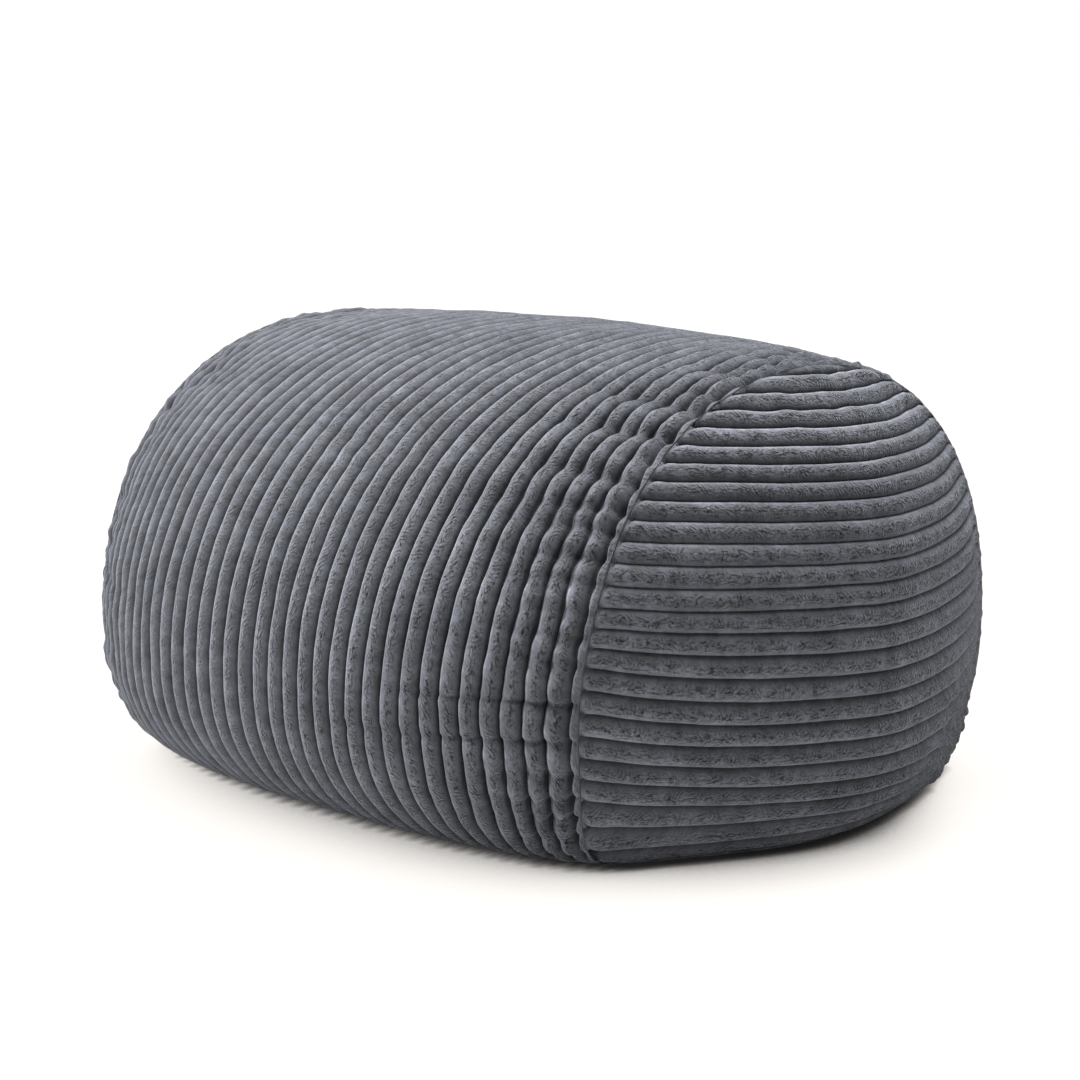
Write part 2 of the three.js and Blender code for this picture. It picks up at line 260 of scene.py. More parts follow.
# ---- body cover -----------------------------------------------------------------------------------
def build_body():
    n = 4000
    xs = np.linspace(-LEFT["seam"], RIGHT["seam"], n + 1)
    run = np.concatenate([[0], np.cumsum(np.hypot(np.diff(xs), np.diff(body_dims(xs)["w"])))])
    total = run[-1]
    wales = math.floor(total / PITCH - CUT_WALE - 0.2)
    first = total - (CUT_WALE + wales) * PITCH
    head = first / PITCH                     # width of the first wale, at the left seam

    wv = [-head + head * u for u in WALE_STEPS]
    wv += [k + u for k in range(wales) for u in WALE_STEPS]
    wv += [wales + CUT_WALE * u for u in (0.0, 0.08, 0.2, 0.36, 0.55, 0.74, 0.88, 0.96, 1.0)]
    wv = np.array(wv)
    s = first + wv * PITCH
    x = np.interp(s, run, xs)
    d_right, d_left = total - s, s
    k = np.floor(wv + 1e-9)
    u = wv - k
    cut = wv >= wales - 1e-9
    u = np.where(cut, (wv - wales) / CUT_WALE, u)
    u = np.where(wv < -1e-9, (wv + head) / head, u)
    u = np.clip(u, 0, 1)
    k = np.where(cut, wales, k)

    t = ring_shares()
    Y, Z, length, yc = sections(body_dims(x), t)
    M, ring = len(wv), ARC_STEPS + BASE_STEPS
    bt = np.arange(1, BASE_STEPS) / BASE_STEPS
    base_y = lerp(yc[:, None], -yc[:, None], bt[None, :])
    Y = np.concatenate([Y, base_y], axis=1)
    Z = np.concatenate([Z, np.zeros_like(base_y)], axis=1)
    P = np.stack([skew(x[:, None] + 0 * Y, Y, Z), Y, Z], -1)
    # length round the form from the crown, running on under the base
    arc = (t[None, :] - 0.5) * length[:, None]
    half = length[:, None] / 2
    under = np.where(bt[None, :] <= 0.5, half + (yc[:, None] - base_y), -half - (yc[:, None] + base_y))
    along = np.concatenate([arc, under], axis=1)
    share = np.concatenate([np.broadcast_to(t, (M, ARC_STEPS + 1)),
                            np.where(bt <= 0.5, 1.0, 0.0)[None, :] + np.zeros((M, BASE_STEPS - 1))], axis=1)
    on_base = np.concatenate([np.zeros(ARC_STEPS + 1), np.ones(BASE_STEPS - 1)])[None, :]

    wrapped = np.concatenate([P[:, -1:], P, P[:, :1]], axis=1)
    N = grid_normals(wrapped)[:, 1:-1]
    # beside a seam the cloth moves only in the seam's own plane
    edge = smooth(1.0, 26.0, np.minimum(d_right, d_left))[:, None]
    N[..., 0] *= edge
    N /= np.linalg.norm(N, axis=-1, keepdims=True)
    T = np.gradient(P, axis=0)
    T /= np.linalg.norm(T, axis=-1, keepdims=True)

    W, U = wv[:, None], u[:, None]
    DR, DL = d_right[:, None], d_left[:, None]
    low = smooth(0, 45, P[..., 2])            # 0 on the floor

    # gathers
    seam_len = float(sections(body_dims([RIGHT["seam"]]), [0, 1])[2][0])
    around = share * seam_len
    rng = np.random.default_rng(4817)
    near = [(a, d, r, rng.uniform(-0.10, 0.10)) for a, d, r in GATHERS_NEAR]
    far, at = [], 722.0
    while at < seam_len - 40:
        lowish = at > seam_len - 330 and at < seam_len - 190
        far.append((at, rng.uniform(1.4, 2.6) if lowish else rng.uniform(3.0, 5.2),
                    rng.uniform(55, 105), rng.uniform(-0.12, 0.12)))
        at += rng.uniform(23, 38)
    left, at = [], 44.0
    while at < seam_len - 40:
        left.append((at, rng.uniform(2.3, 4.2), rng.uniform(50, 100), rng.uniform(-0.12, 0.12)))
        at += rng.uniform(20, 31)
    pinch = np.zeros_like(Y)
    for rows, dist, gain in ((near + far, DR, 1.0), (left, DL, 0.72)):
        for a, d, r, drift in rows:
            fade = np.exp(-(dist / (r * np.interp(a, (200, 260, 520, 600), (1.0, 1.2, 1.2, 1.0)))) ** 2.2)
            wob = 2.2 * noise(W * 0.55 + a, np.zeros_like(W), 21)
            width = 5.0 + 0.035 * dist + 3.0 * smooth(500, 600, np.array(a))
            pinch += fade * fold(around - a - drift * dist - wob * smooth(8, 40, dist),
                                 d * gain * np.interp(a, GATHER_AT, GATHER_GAIN), width)
    pinch = pinch * (1 + 0.35 * noise(k[:, None] * 3.7, along / 30, 22))

    # wales: a rounded rib each, with its own small swellings
    puffed = np.exp(-(DR / 105) ** 2) + 0.8 * np.exp(-(DL / 90) ** 2) + 0.16
    bead = noise(k[:, None] * 5.3, along / 11.5, 15) + 0.5 * noise(k[:, None] * 2.9, along / 6.0, 16)
    rib = wale_rib(0.5 + (U - 0.5) * (1 + 0.13 * puffed * (0.4 - bead) + 0.055 * pinch))
    ridge = np.maximum(0, 1 - np.abs(2 * U - 1) ** 2.6) ** np.where(U < 0.5, 0.7, 0.6)
    rib = np.where(cut[:, None], ridge, rib)
    line = np.broadcast_to(groove_line(U), Y.shape)
    foot = ROUND_DEPTH * (1 - rib) + GROOVE_DEPTH * line
    plump = 0.42 * noise(k[:, None] * 7.3, along / 46, 11) + 0.25 * noise(k[:, None] * 3.1, along / 17, 12)
    plump = plump + 1.15 * puffed * bead
    depth = foot - rib * plump
    # the cut wale and the first wale turn down into their seams
    right_lip = smooth(0.5, 1.0, U) * cut[:, None]
    left_lip = smooth(0.42, 0.0, U) * (wv < -1e-9)[:, None]
    beads = 1.3 * noise(np.zeros_like(along), along / 8.5, 13) + 0.5 * noise(np.ones_like(along), along / 4.2, 14)
    depth = np.where(cut[:, None], lerp(5.4, SEAM_INSET, U) * (1 - rib ** 1.1) + (1.6 + beads) * rib, depth)
    depth = np.where(left_lip > 0, np.maximum(depth, SEAM_INSET * left_lip), depth)

    swell = 3.4 * np.exp(-(DR / 95) ** 2) + 2.6 * np.exp(-(DL / 80) ** 2)
    swell = swell * (1 + 0.45 * noise(k[:, None] * 9.3, along / 15, 23))
    seam_hold = smooth(0.0, 5.0, DR) * smooth(0.0, 5.0, DL)
    depth = depth + (pinch - swell * low * smooth(6, 20, np.minimum(DR, DL))) * seam_hold * lerp(0.35, 1.0, low)

    # lengthwise creases
    jog = np.zeros_like(Y)
    crease = np.zeros_like(Y)
    for part, start, cd, cw, shift in CREASES:
        off = (share - part) * length[:, None] + 1.3 * noise(W * 0.6, 0 * Y, 31 + int(start))
        fade = smooth(start - 0.6, start + 2.2, W)
        strength = 0.75 + 0.45 * smooth(29, 33, W) + 0.25 * noise(W * 1.3, 0 * Y, 33)
        crease += fade * strength * cd * np.exp(-(np.abs(off) / cw) ** 1.5) * seam_hold
        jog += fade * shift * np.exp(-np.maximum(0, -off) / 55) * smooth(3.5, -3.5, off) * (1 - on_base)
    depth = depth + crease

    # a slack place high on the near side, with a slanting trough across it
    sx, sy = s[:, None], (share - 0.318) * length[:, None]
    dx = s[:, None] - (first + 18.6 * PITCH)
    slack = np.exp(-(dx / 95) ** 2 - (sy / 62) ** 2)
    slant = sy + 0.16 * dx
    trough = slack * (1.9 * np.exp(-(np.abs(slant) / 9) ** 1.6)
                      + 1.0 * np.exp(-(np.abs(slant - 27) / 8) ** 1.6)
                      + 0.9 * np.exp(-(np.abs(slant + 31 + 0.1 * dx) / 7) ** 1.6))
    depth = depth + trough + 1.2 * slack

    # filling: broad soft lumps, none at the seams or the floor
    lump = 1.7 * noise(s[:, None] / 120, along / 135, 41) + 0.8 * noise(s[:, None] / 52, along / 60, 42)
    lump *= smooth(4, 60, np.minimum(DR, DL)) * low
    depth = depth - lump - 0.5

    # wale lines wander
    wander = 0.85 * noise(W * 0.33, along / 70, 51) + 0.45 * noise(W * 0.9, along / 24, 52)
    wander += (1.9 * noise(W * 0.5, along / 21, 53)) * (np.exp(-(DR / 75) ** 2) + np.exp(-(DL / 70) ** 2))
    wander += 1.3 * slack * noise(W * 0.4, along / 26, 54)
    wander = wander * seam_hold * smooth(2, 16, np.minimum(DR, DL)) * lerp(0.2, 1.0, low) + jog * smooth(2, 30, DR)

    # pressed on the floor the wales are flatter
    depth = np.where(on_base > 0, np.maximum(0, foot) * 0.85, depth)
    near_floor = 1 - smooth(0, 10, P[..., 2])
    depth = lerp(depth, np.maximum(0, foot) * 1.0, near_floor * (1 - on_base) * 0.8)

    P = P + T * wander[..., None] - N * depth[..., None]

    # the two seam rings
    ys, zs, _, ycs = sections(SEAM_SECTION, t)
    by = lerp(ycs[0], -ycs[0], bt)
    ry, rz = np.concatenate([ys[0], by]), np.concatenate([zs[0], np.zeros_like(by)])
    for i, xe, end in ((0, -LEFT["seam"], LEFT), (M - 1, RIGHT["seam"], RIGHT)):
        P[i] = np.stack([xe + shear(end, ry, rz), ry, rz], -1)
    # cloth never passes the floor nor a seam's plane
    P[..., 2] = np.maximum(P[..., 2], 0)
    P[1:-1, :, 0] = np.minimum(P[1:-1, :, 0], RIGHT["seam"] + shear(RIGHT, P[1:-1, :, 1], P[1:-1, :, 2]) - 0.05 * (1 - u[1:-1, None] * cut[1:-1, None]) - 0.02)
    P[1:-1, :, 0] = np.maximum(P[1:-1, :, 0], -LEFT["seam"] + 0.02)

    P = settled(P)

    beaded = cut[:, None] * rib * (1 - on_base)
    cloth = np.stack([np.broadcast_to(W, Y.shape), along * 0.001, beaded], -1)
    # marks in the pile, least on the left and where the cloth turns into a seam
    marks = lerp(0.36, 1.0, smooth(5, 24, W)) * smooth(0.4, 3.0, DR) * smooth(1.5, 7.0, DL)
    marks = marks * lerp(0.75, 1.0, smooth(330, 180, P[..., 2]))
    # strength of the painted shade down into the grooves: full higher up, weaker near the floor away from the right
    # seam
    hush = lerp(0.62 + 0.3 * smooth(260, 120, DR), 1.0, smooth(15, 150, P[..., 2]))
    # painted edge highlight and far-side shade are weaker where the cloth is gathered over the upper turn
    painted_light_side = 1 - 0.6 * np.exp(-(DR / 120) ** 2) * smooth(230, 330, P[..., 2])
    pile = np.stack([marks, hush, painted_light_side], -1)
    # painted shade in the gathers' pinches and along the creases
    shade = (pinch * 0.15 * smooth(20, 130, P[..., 2]) + crease * 0.25) * (1 - on_base)
    # painted shade low on the wale crowns away from the right seam, painted light low beside it
    shade = shade + smooth(90, 30, P[..., 2]) * (0.25 * smooth(260, 120, DR) * rib - 0.3 * np.exp(-DR / 60))
    # painted shade makes the near side a little darker half way up, and painted light makes it lighter low on the left
    near_side = smooth(60, -60, P[..., 1])
    shade = shade + 0.3 * np.exp(-((P[..., 2] - 300) / 75) ** 2) * smooth(31, 22, W) * near_side
    shade = np.clip(shade - 0.3 * smooth(230, 130, P[..., 2]) * smooth(26, 8, W) * near_side, -1, 1)
    tone = 0.5 + 0.5 * noise(k[:, None] * 5.7, along / 90, 61)
    relief = np.stack([np.where(line > 0.5, rib * 0.5, rib), shade, tone], -1)

    # fine rings beside the seams, every second point in the middle
    fine = (wv < FINE_LEFT - 1e-9) | (wv > FINE_RIGHT + 1e-9)
    index = -np.ones((M, ring), int)
    pts, cl, rl, pl = [], [], [], []
    count = 0
    for i in range(M):
        js = np.arange(0, ring, 1 if fine[i] else 2)
        index[i, js] = count + np.arange(len(js))
        count += len(js)
        pts.append(P[i, js]); cl.append(cloth[i, js]); rl.append(relief[i, js]); pl.append(pile[i, js])
    quads, tris = [], []
    for i in range(M - 1):
        if fine[i] == fine[i + 1]:
            js = np.arange(0, ring, 1 if fine[i] else 2)
            a, b = index[i, js], index[i + 1, js]
            quads.append(np.stack([a, b, np.roll(b, -1), np.roll(a, -1)], -1))
        else:
            js = np.arange(0, ring, 2)
            f, c = (i, i + 1) if fine[i] else (i + 1, i)
            f0, f1, f2 = index[f, js], index[f, js + 1], index[f, (js + 2) % ring]
            c0, c1 = index[c, js], index[c, (js + 2) % ring]
            three = [(f0, f1, c0), (c0, f1, c1), (f1, f2, c1)]
            if f < c:
                three = [(p, r, q) for p, q, r in three]
            tris += [np.stack(q, -1) for q in three]
    pts, cl, rl, pl = np.concatenate(pts), np.concatenate(cl), np.concatenate(rl), np.concatenate(pl)
    # hidden end faces, on the seams' planes
    extra = []
    for i, xe, end, sign in ((0, -LEFT["seam"], LEFT, -1), (M - 1, RIGHT["seam"], RIGHT, 1)):
        last = index[i]
        for f in (0.88, 0.72, 0.5, 0.25):
            yy, zz = ry * f, CENTRE_HEIGHT + (rz - CENTRE_HEIGHT) * f
            extra.append(np.stack([xe + shear(end, yy, zz, 0.0) - sign * 0.5, yy, zz], -1))
            new = count + np.arange(ring)
            count += ring
            q = np.stack([last, np.roll(last, -1), np.roll(new, -1), new], -1)
            quads.append(q if sign < 0 else q[:, ::-1])
            last = new
        extra.append(np.array([[xe - sign * 0.5, 0, CENTRE_HEIGHT]]))
        t3 = np.stack([np.full(ring, count), last, np.roll(last, -1)], -1)
        tris.append(t3 if sign < 0 else t3[:, ::-1])
        count += 1
    extra = np.concatenate(extra)
    pts = np.concatenate([pts, extra])
    cl = np.concatenate([cl, np.zeros_like(extra)])
    rl = np.concatenate([rl, np.tile([[0, 0, 0.5]], (len(extra), 1))])
    pl = np.concatenate([pl, np.zeros_like(extra)])
    pts[:, 0] += SHIFT_X
    return write_mesh("body_cover", pts, np.concatenate(quads), np.concatenate(tris), cloth=cl, relief=rl, pile=pl)


# ---- end covers ----------------------------------------------------------------------------------
def dome(end, y, z):
    """Height of the dome over its seam plane."""
    h = unrest(z) - CENTRE_HEIGHT
    m = np.where(h >= 0, SEAM_UPPER, SEAM_LOWER)
    b = np.where(h >= 0, SEAM_RISE, SEAM_DEPTH)
    low = LOWER_EXPONENT + (end["near_low"] - LOWER_EXPONENT) * smooth(40, -170, y) \
        + (end["far_low"] - LOWER_EXPONENT) * smooth(110, 240, y)
    e = np.where(h >= 0, UPPER_EXPONENT, low)
    lo, hi = np.zeros_like(y + z), np.ones_like(y + z)
    for _ in range(44):
        g = (lo + hi) / 2
        out = (np.abs(y) / (SEAM_HALF_WIDTH * g ** (1 / PLAN_EXPONENT))) ** m \
            + (np.abs(h) / (b * g ** (1 / e))) ** m > 1
        lo, hi = np.where(out, g, lo), np.where(out, hi, g)
    return end["bulge"] * (1 - hi)


def seam_field(y, z):
    """1 on an end cover's outline, less inside, and its slope there."""
    d, h = CAP_SECTION, unrest(z) - CENTRE_HEIGHT
    m = np.where(h >= 0, d["mu"], d["md"])
    b = np.where(h >= 0, d["up"], d["down"])
    F = np.maximum(1e-9, (np.abs(y) / d["w"]) ** m + (np.abs(h) / b) ** m)
    v = F ** (1 / m)
    gy = F ** (1 / m - 1) * np.abs(y) ** (m - 1) / d["w"] ** m
    gh = F ** (1 / m - 1) * np.abs(h) ** (m - 1) / b ** m
    return v, np.hypot(gy, gh)


def build_cap(name, end, seed):
    top = CENTRE_HEIGHT + SEAM_RISE
    zs = top * (1 - np.linspace(0, 1, 4001) ** 2)
    hs = dome(end, np.zeros_like(zs), np.minimum(zs, top - 1e-6))
    run = np.concatenate([[0], np.cumsum(np.hypot(np.diff(hs), np.diff(zs)))])
    total = run[-1]

    ys, zz, _, _ = sections(CAP_SECTION, np.linspace(0, 1, 721))
    tip = zz[0] - end["sag"] * ys[0] ** 2 - end["roll"] * ys[0]
    i = int(np.argmax(tip))
    crest_c, crest_y, crest_z = tip[i], ys[0][i], zz[0][i]
    r_top = float(np.interp(-crest_c, -zs, run)) / PITCH - end["first"]
    r_end = (total + 1.5 * end["tight"]) / PITCH - end["first"]
    r = [r_top + 0.03]
    r += [q + w for q in range(int(math.floor(r_top)), int(r_end) + 1) for w in WALE_STEPS
          if r_top + 0.05 < q + w < r_end - 0.03]
    r = np.array(r + [r_end])
    # its wales are a little closer together over the upper turn and at the foot
    pushed = end["tight"] * (smooth(3, 8, r) - 0.9 * smooth(12, 18, r) + 1.4 * smooth(19.5, 23, r))
    row_z = np.interp((r + end["first"]) * PITCH - pushed, run, zs)
    row_z[-1] = 0.0
    R = len(r)

    lift = smooth(0, 60, row_z)
    pull = end["pull"] * smooth(0, 40, row_z) * (smooth(235, 150, row_z) - 0.5 * smooth(265, 340, row_z))

    def z_at(y):
        drawn = pull[:, None] * np.exp(-(y + SEAM_HALF_WIDTH - 10) / PULL_REACH)
        return row_z[:, None] + lift[:, None] * (end["sag"] * y * y + end["roll"] * y) + drawn

    mid = (crest_y * lift)[:, None]
    ends = []
    for way in (-1, 1):
        lo, hi = mid.copy(), np.full((R, 1), way * SEAM_HALF_WIDTH)
        for _ in range(44):
            y = (lo + hi) / 2
            z = z_at(y)
            inside = (seam_field(y, z)[0] < 1) & (z >= 0)
            lo, hi = np.where(inside, y, lo), np.where(inside, hi, y)
        ends.append(lo[:, 0])
    yc = float(contact_y({k: np.asarray(v) for k, v in CAP_SECTION.items()}))
    ends[0][-1], ends[1][-1] = -yc, yc

    q = np.linspace(0, 1, CAP_COLUMNS + 1)
    t = lerp(q, (1 - np.cos(math.pi * q)) / 2, 0.5)
    Yg = lerp(ends[0][:, None], ends[1][:, None], t[None, :])
    Zg = np.maximum(0, z_at(Yg))
    Zg[-1] = 0
    H = dome(end, Yg, Zg)
    v, slope = seam_field(Yg, Zg)
    e = np.maximum(0, 1 - v) / np.maximum(1e-6, slope) * 1.22      # mm of cloth in from the seam

    k = np.floor(r + 1e-9)
    u = np.clip(r - k, 0, 1)
    U, K = u[:, None], k[:, None]
    along = Yg * np.sqrt(1 + 0.2 * (Yg / 300) ** 2)

    env = np.stack([H, Yg, Zg], -1)
    N = grid_normals(np.swapaxes(env, 0, 1))          # columns run +y, rows run down
    N = -np.swapaxes(N, 0, 1)
    N[..., 0] = np.abs(N[..., 0])
    N[0], N[-1] = N[1], N[-2]
    # below the middle the normal turns down, above it up
    good = np.sum(N * (env - np.array([0, 0, CENTRE_HEIGHT])), -1) < 0
    N[good] *= -1

    reach = 8.0 + 2.0 * noise(K * 9.1, np.sign(Yg) * 3.0, seed + 1)
    clear = smooth(0.3, 1.8, r - r_top)[:, None]
    corner = 0.5 * np.maximum(0, 1 - e / reach) ** 1.8 * clear
    tuck_in = np.maximum(0, 1 - e / 8.0) ** 1.4 * np.abs(2 * U - 1) ** 2.6 * clear
    rib = wale_rib(U, corner, 0.16 * smooth(330, 160, Zg))
    line = np.broadcast_to(groove_line(U), rib.shape)
    plump = 0.42 * noise(K * 7.9, along / 44, seed + 2) + 0.28 * noise(K * 4.3, along / 16, seed + 3)
    far_low = smooth(40, 160, Yg) * smooth(150, 70, Zg)
    foot = (END_ROUND_DEPTH * (1 - rib) + END_GROOVE_DEPTH * line) * (1 + 0.45 * far_low) + 3.6 * tuck_in
    upper = np.exp(-np.maximum(0, r - 0.6) / 2.6)[:, None]
    ripple = upper * 1.5 * noise(r[:, None] * 0.45, along / 15, seed + 4)
    sides = np.exp(-(e / 46) ** 1.5)
    ripple += sides * 1.0 * noise(r[:, None] * 0.5, e / 13, seed + 5) * smooth(2, 16, e)
    ripple += far_low * 2.2 * noise(r[:, None] * 0.8, along / 17, seed + 12)
    end_rest = 2.2
    lump = 1.5 * noise(r[:, None] / 6.0, along / 120, seed + 6) + 0.7 * noise(r[:, None] / 2.6, along / 55, seed + 7)
    depth = foot - rib * plump - ripple * smooth(0, 8, e) - lump * smooth(6, 50, e) + end_rest * smooth(0, 30, e)
    depth = depth * smooth(0, 9, Zg)
    wander = 0.75 * noise(r[:, None] * 0.35, along / 75, seed + 8) + 0.4 * noise(r[:, None] * 0.9, along / 26, seed + 9)
    wander += upper * 2.2 * noise(r[:, None] * 0.45, along / 20, seed + 10)
    wander = wander * smooth(2, 18, e) * smooth(0, 40, Zg)

    rim = np.sqrt(np.maximum(0, 1 - np.maximum(0, 1 - e / 3.6) ** 2))
    env[..., 0] = H * rim
    down = np.gradient(env, axis=0)
    down /= np.maximum(1e-9, np.linalg.norm(down, axis=-1, keepdims=True))
    P = env + down * wander[..., None] - N * depth[..., None]
    # the edge columns lie on the seam itself, down between the covers
    edges = []
    for j in (0, CAP_COLUMNS):
        drop = (SEAM_SECTION["up"] / CAP_SECTION["up"])
        ye = Yg[:, j] * SEAM_SECTION["w"] / CAP_SECTION["w"]
        ze = np.where(Zg[:, j] > CENTRE_HEIGHT, CENTRE_HEIGHT + (Zg[:, j] - CENTRE_HEIGHT) * drop, Zg[:, j])
        P[:, j] = np.stack([0 * r, ye, ze], -1)
        edges.append((ye[:, None], ze[:, None]))
    P[:, 1:-1, 0] = np.maximum(P[:, 1:-1, 0], 0.12)
    P[..., 2] = np.maximum(P[..., 2], 0)
    P[-1, :, 2] = 0
    # nothing spreads past the seam's outline where the cover meets its plane
    over = seam_field(P[..., 1], P[..., 2])[0]
    tight = (over > 1) & (P[..., 0] < 3.0)
    P[..., 1] = np.where(tight, P[..., 1] / over, P[..., 1])

    P[..., 0] = end["sign"] * (end["seam"] + SEAM_GAP + P[..., 0] + shear(end, P[..., 1], P[..., 2]))
    cols = CAP_COLUMNS + 1
    grid = np.arange(R * cols).reshape(R, cols)
    a, b = grid[:-1], grid[1:]
    quads = np.stack([a[:, :-1], b[:, :-1], b[:, 1:], a[:, 1:]], -1).reshape(-1, 4)
    # the inner face, on the seam's plane
    (y0, z0), (y1, z1) = edges
    across = np.linspace(0, 1, BACK_COLUMNS + 1)[None, 1:-1]
    by, bz = lerp(y0, y1, across), np.maximum(0, lerp(z0, z1, across))
    bx = end["sign"] * (end["seam"] + SEAM_GAP + 0.6 * end["tuck"] / 26 + shear(end, by, bz, 0.0))
    inner = R * cols + np.arange(by.size).reshape(by.shape)
    inner = np.concatenate([grid[:, :1], inner, grid[:, -1:]], axis=1)
    ia, ib = inner[:-1], inner[1:]
    back = np.stack([ia[:, :-1], ia[:, 1:], ib[:, 1:], ib[:, :-1]], -1).reshape(-1, 4)
    apex = R * cols + by.size
    tris = [np.stack([np.full(CAP_COLUMNS, apex), grid[0, :-1], grid[0, 1:]], -1),
            np.stack([np.full(BACK_COLUMNS, apex), inner[0, 1:], inner[0, :-1]], -1)]
    # the base
    c, d = grid[-1], inner[-1]
    base = []
    for j in range(CAP_COLUMNS):
        i, i2 = j * BACK_COLUMNS // CAP_COLUMNS, (j + 1) * BACK_COLUMNS // CAP_COLUMNS
        base.append((c[j], d[i], c[j + 1]))
        if i2 > i:
            base.append((d[i], d[i2], c[j + 1]))
    tris.append(np.array([t for t in base if len(set(t)) == 3]))
    tris = np.concatenate(tris)
    quads = np.concatenate([quads, back])
    if end["sign"] < 0:
        quads, tris = quads[:, ::-1], tris[:, ::-1]
    pts = np.concatenate([P.reshape(-1, 3), np.stack([bx, by, bz], -1).reshape(-1, 3),
                          [[end["sign"] * (end["seam"] + SEAM_GAP + shear(end, crest_y, crest_z)), crest_y, crest_z]]])
    if end["sign"] > 0:
        pts = settled(pts)
    pts[:, 0] += SHIFT_X
    # painted highlight on each wale's upper edge high on the end, turning low down to painted shade over each wale's
    # upper part
    painted_light_side = lerp(-0.8, 1.0, smooth(190, 340, Zg))
    cloth = np.stack([np.broadcast_to(r[:, None], Yg.shape), along * 0.001 + 3.0, 0 * Yg], -1).reshape(-1, 3)
    pile = np.stack([smooth(1.0, 6.0, e), np.full_like(Yg, 0.5), painted_light_side], -1).reshape(-1, 3)
    tone = 0.5 + 0.5 * noise(K * 6.1, along / 90, seed + 11)
    # painted shade makes the end a little darker overall and half way up, and painted light makes it lighter over the
    # top towards the near side
    dark = 0.12 + 0.3 * smooth(190, 250, Zg) * smooth(440, 370, Zg) * smooth(0, 90, e)
    dark -= end["lit"] * smooth(320, 410, Zg) * smooth(260, -120, Yg)
    # painted shade along the seam and in the corners between the wale tips
    dark += 0.15 * np.exp(-e / 2.0) + 1.3 * tuck_in
    relief = np.stack([np.where(line > 0.5, rib * 0.5, rib), dark, tone], -1).reshape(-1, 3)
    cloth = np.concatenate([cloth, np.tile([[r_top, 3.0, 1]], (by.size + 1, 1))])
    relief = np.concatenate([relief, np.tile([[0, 0.5, 0.5]], (by.size + 1, 1))])
    pile = np.concatenate([pile, np.zeros((by.size + 1, 3))])
    return write_mesh(name, pts, quads, tris, cloth=cloth, relief=relief, pile=pile)


body = build_body()
cap_right = build_cap("end_cover_right", RIGHT, 200)
cap_left = build_cap("end_cover_left", LEFT, 300)


